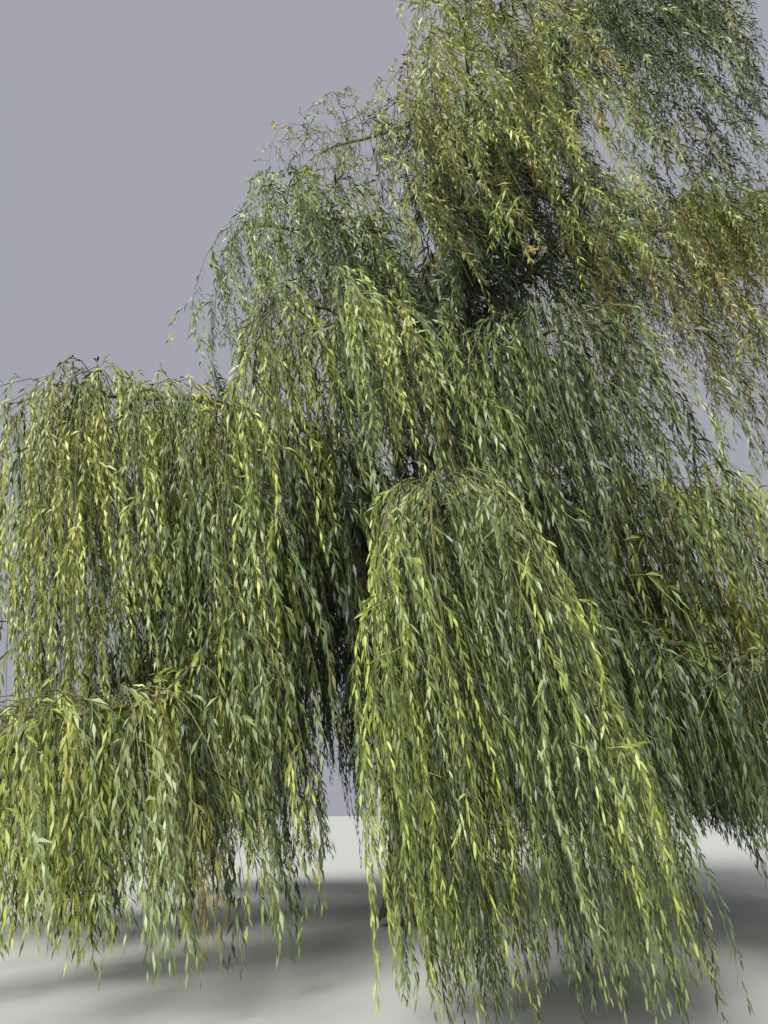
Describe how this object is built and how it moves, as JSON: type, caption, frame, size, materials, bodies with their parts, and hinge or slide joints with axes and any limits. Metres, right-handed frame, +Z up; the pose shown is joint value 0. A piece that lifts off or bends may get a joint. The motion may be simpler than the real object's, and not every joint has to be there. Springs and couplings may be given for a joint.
{
  "type": "weeping willow tree",
  "caption": "Tall weeping willow with a leaning trunk, arching boughs in tiers and long hanging curtains of narrow leaves that nearly reach the ground.",
  "frame": {"origin": "the middle of the trunk's flat cut at ground level", "axes": "+Z up, -Y towards the viewer of the picture, +X to the picture's right, which is the way the wind blows"},
  "size_m": [14.2788, 15.0778, 17.6412],
  "materials": {
    "bark": "rough, furrowed bark",
    "foliage_outer": "satin leaves, mid green to yellow-green",
    "foliage_inner": "satin leaves, deep green",
    "foliage_middle": "satin leaves, grey-green",
    "foliage_upper": "satin leaves, olive to blue-green"
  },
  "bodies": {
    "root": {"trunk": "bark", "bough_outer_1": "bark", "bough_inner_1": "bark", "bough_outer_2": "bark", "bough_inner_2": "bark", "bough_outer_3": "bark", "bough_inner_3": "bark", "bough_outer_4": "bark", "bough_inner_4": "bark", "bough_outer_5": "bark", "bough_inner_5": "bark", "bough_outer_6": "bark", "bough_inner_6": "bark", "bough_middle_1": "bark", "bough_middle_2": "bark", "bough_middle_3": "bark", "bough_middle_4": "bark", "bough_middle_5": "bark", "bough_middle_6": "bark", "bough_middle_7": "bark", "bough_middle_8": "bark", "bough_middle_9": "bark", "bough_upper_1": "bark", "bough_upper_2": "bark", "bough_upper_3": "bark", "bough_upper_4": "bark", "bough_upper_5": "bark", "bough_upper_6": "bark", "bough_upper_7": "bark", "bough_upper_8": "bark", "foliage_outer_1": "foliage_outer", "foliage_outer_2": "foliage_outer", "foliage_outer_3": "foliage_outer", "foliage_outer_4": "foliage_outer", "foliage_outer_5": "foliage_outer", "foliage_outer_6": "foliage_outer", "foliage_inner_1": "foliage_inner", "foliage_inner_2": "foliage_inner", "foliage_inner_3": "foliage_inner", "foliage_inner_4": "foliage_inner", "foliage_inner_5": "foliage_inner", "foliage_inner_6": "foliage_inner", "foliage_middle_1": "foliage_middle", "foliage_middle_2": "foliage_middle", "foliage_middle_3": "foliage_middle", "foliage_middle_4": "foliage_middle", "foliage_middle_5": "foliage_middle", "foliage_middle_6": "foliage_middle", "foliage_middle_7": "foliage_middle", "foliage_middle_8": "foliage_middle", "foliage_middle_9": "foliage_middle", "foliage_upper_1": "foliage_upper", "foliage_upper_2": "foliage_upper", "foliage_upper_3": "foliage_upper", "foliage_upper_4": "foliage_upper", "foliage_upper_5": "foliage_upper", "foliage_upper_6": "foliage_upper", "foliage_upper_7": "foliage_upper", "foliage_upper_8": "foliage_upper", "foliage_top": "foliage_upper"}
  },
  "joints": []
}
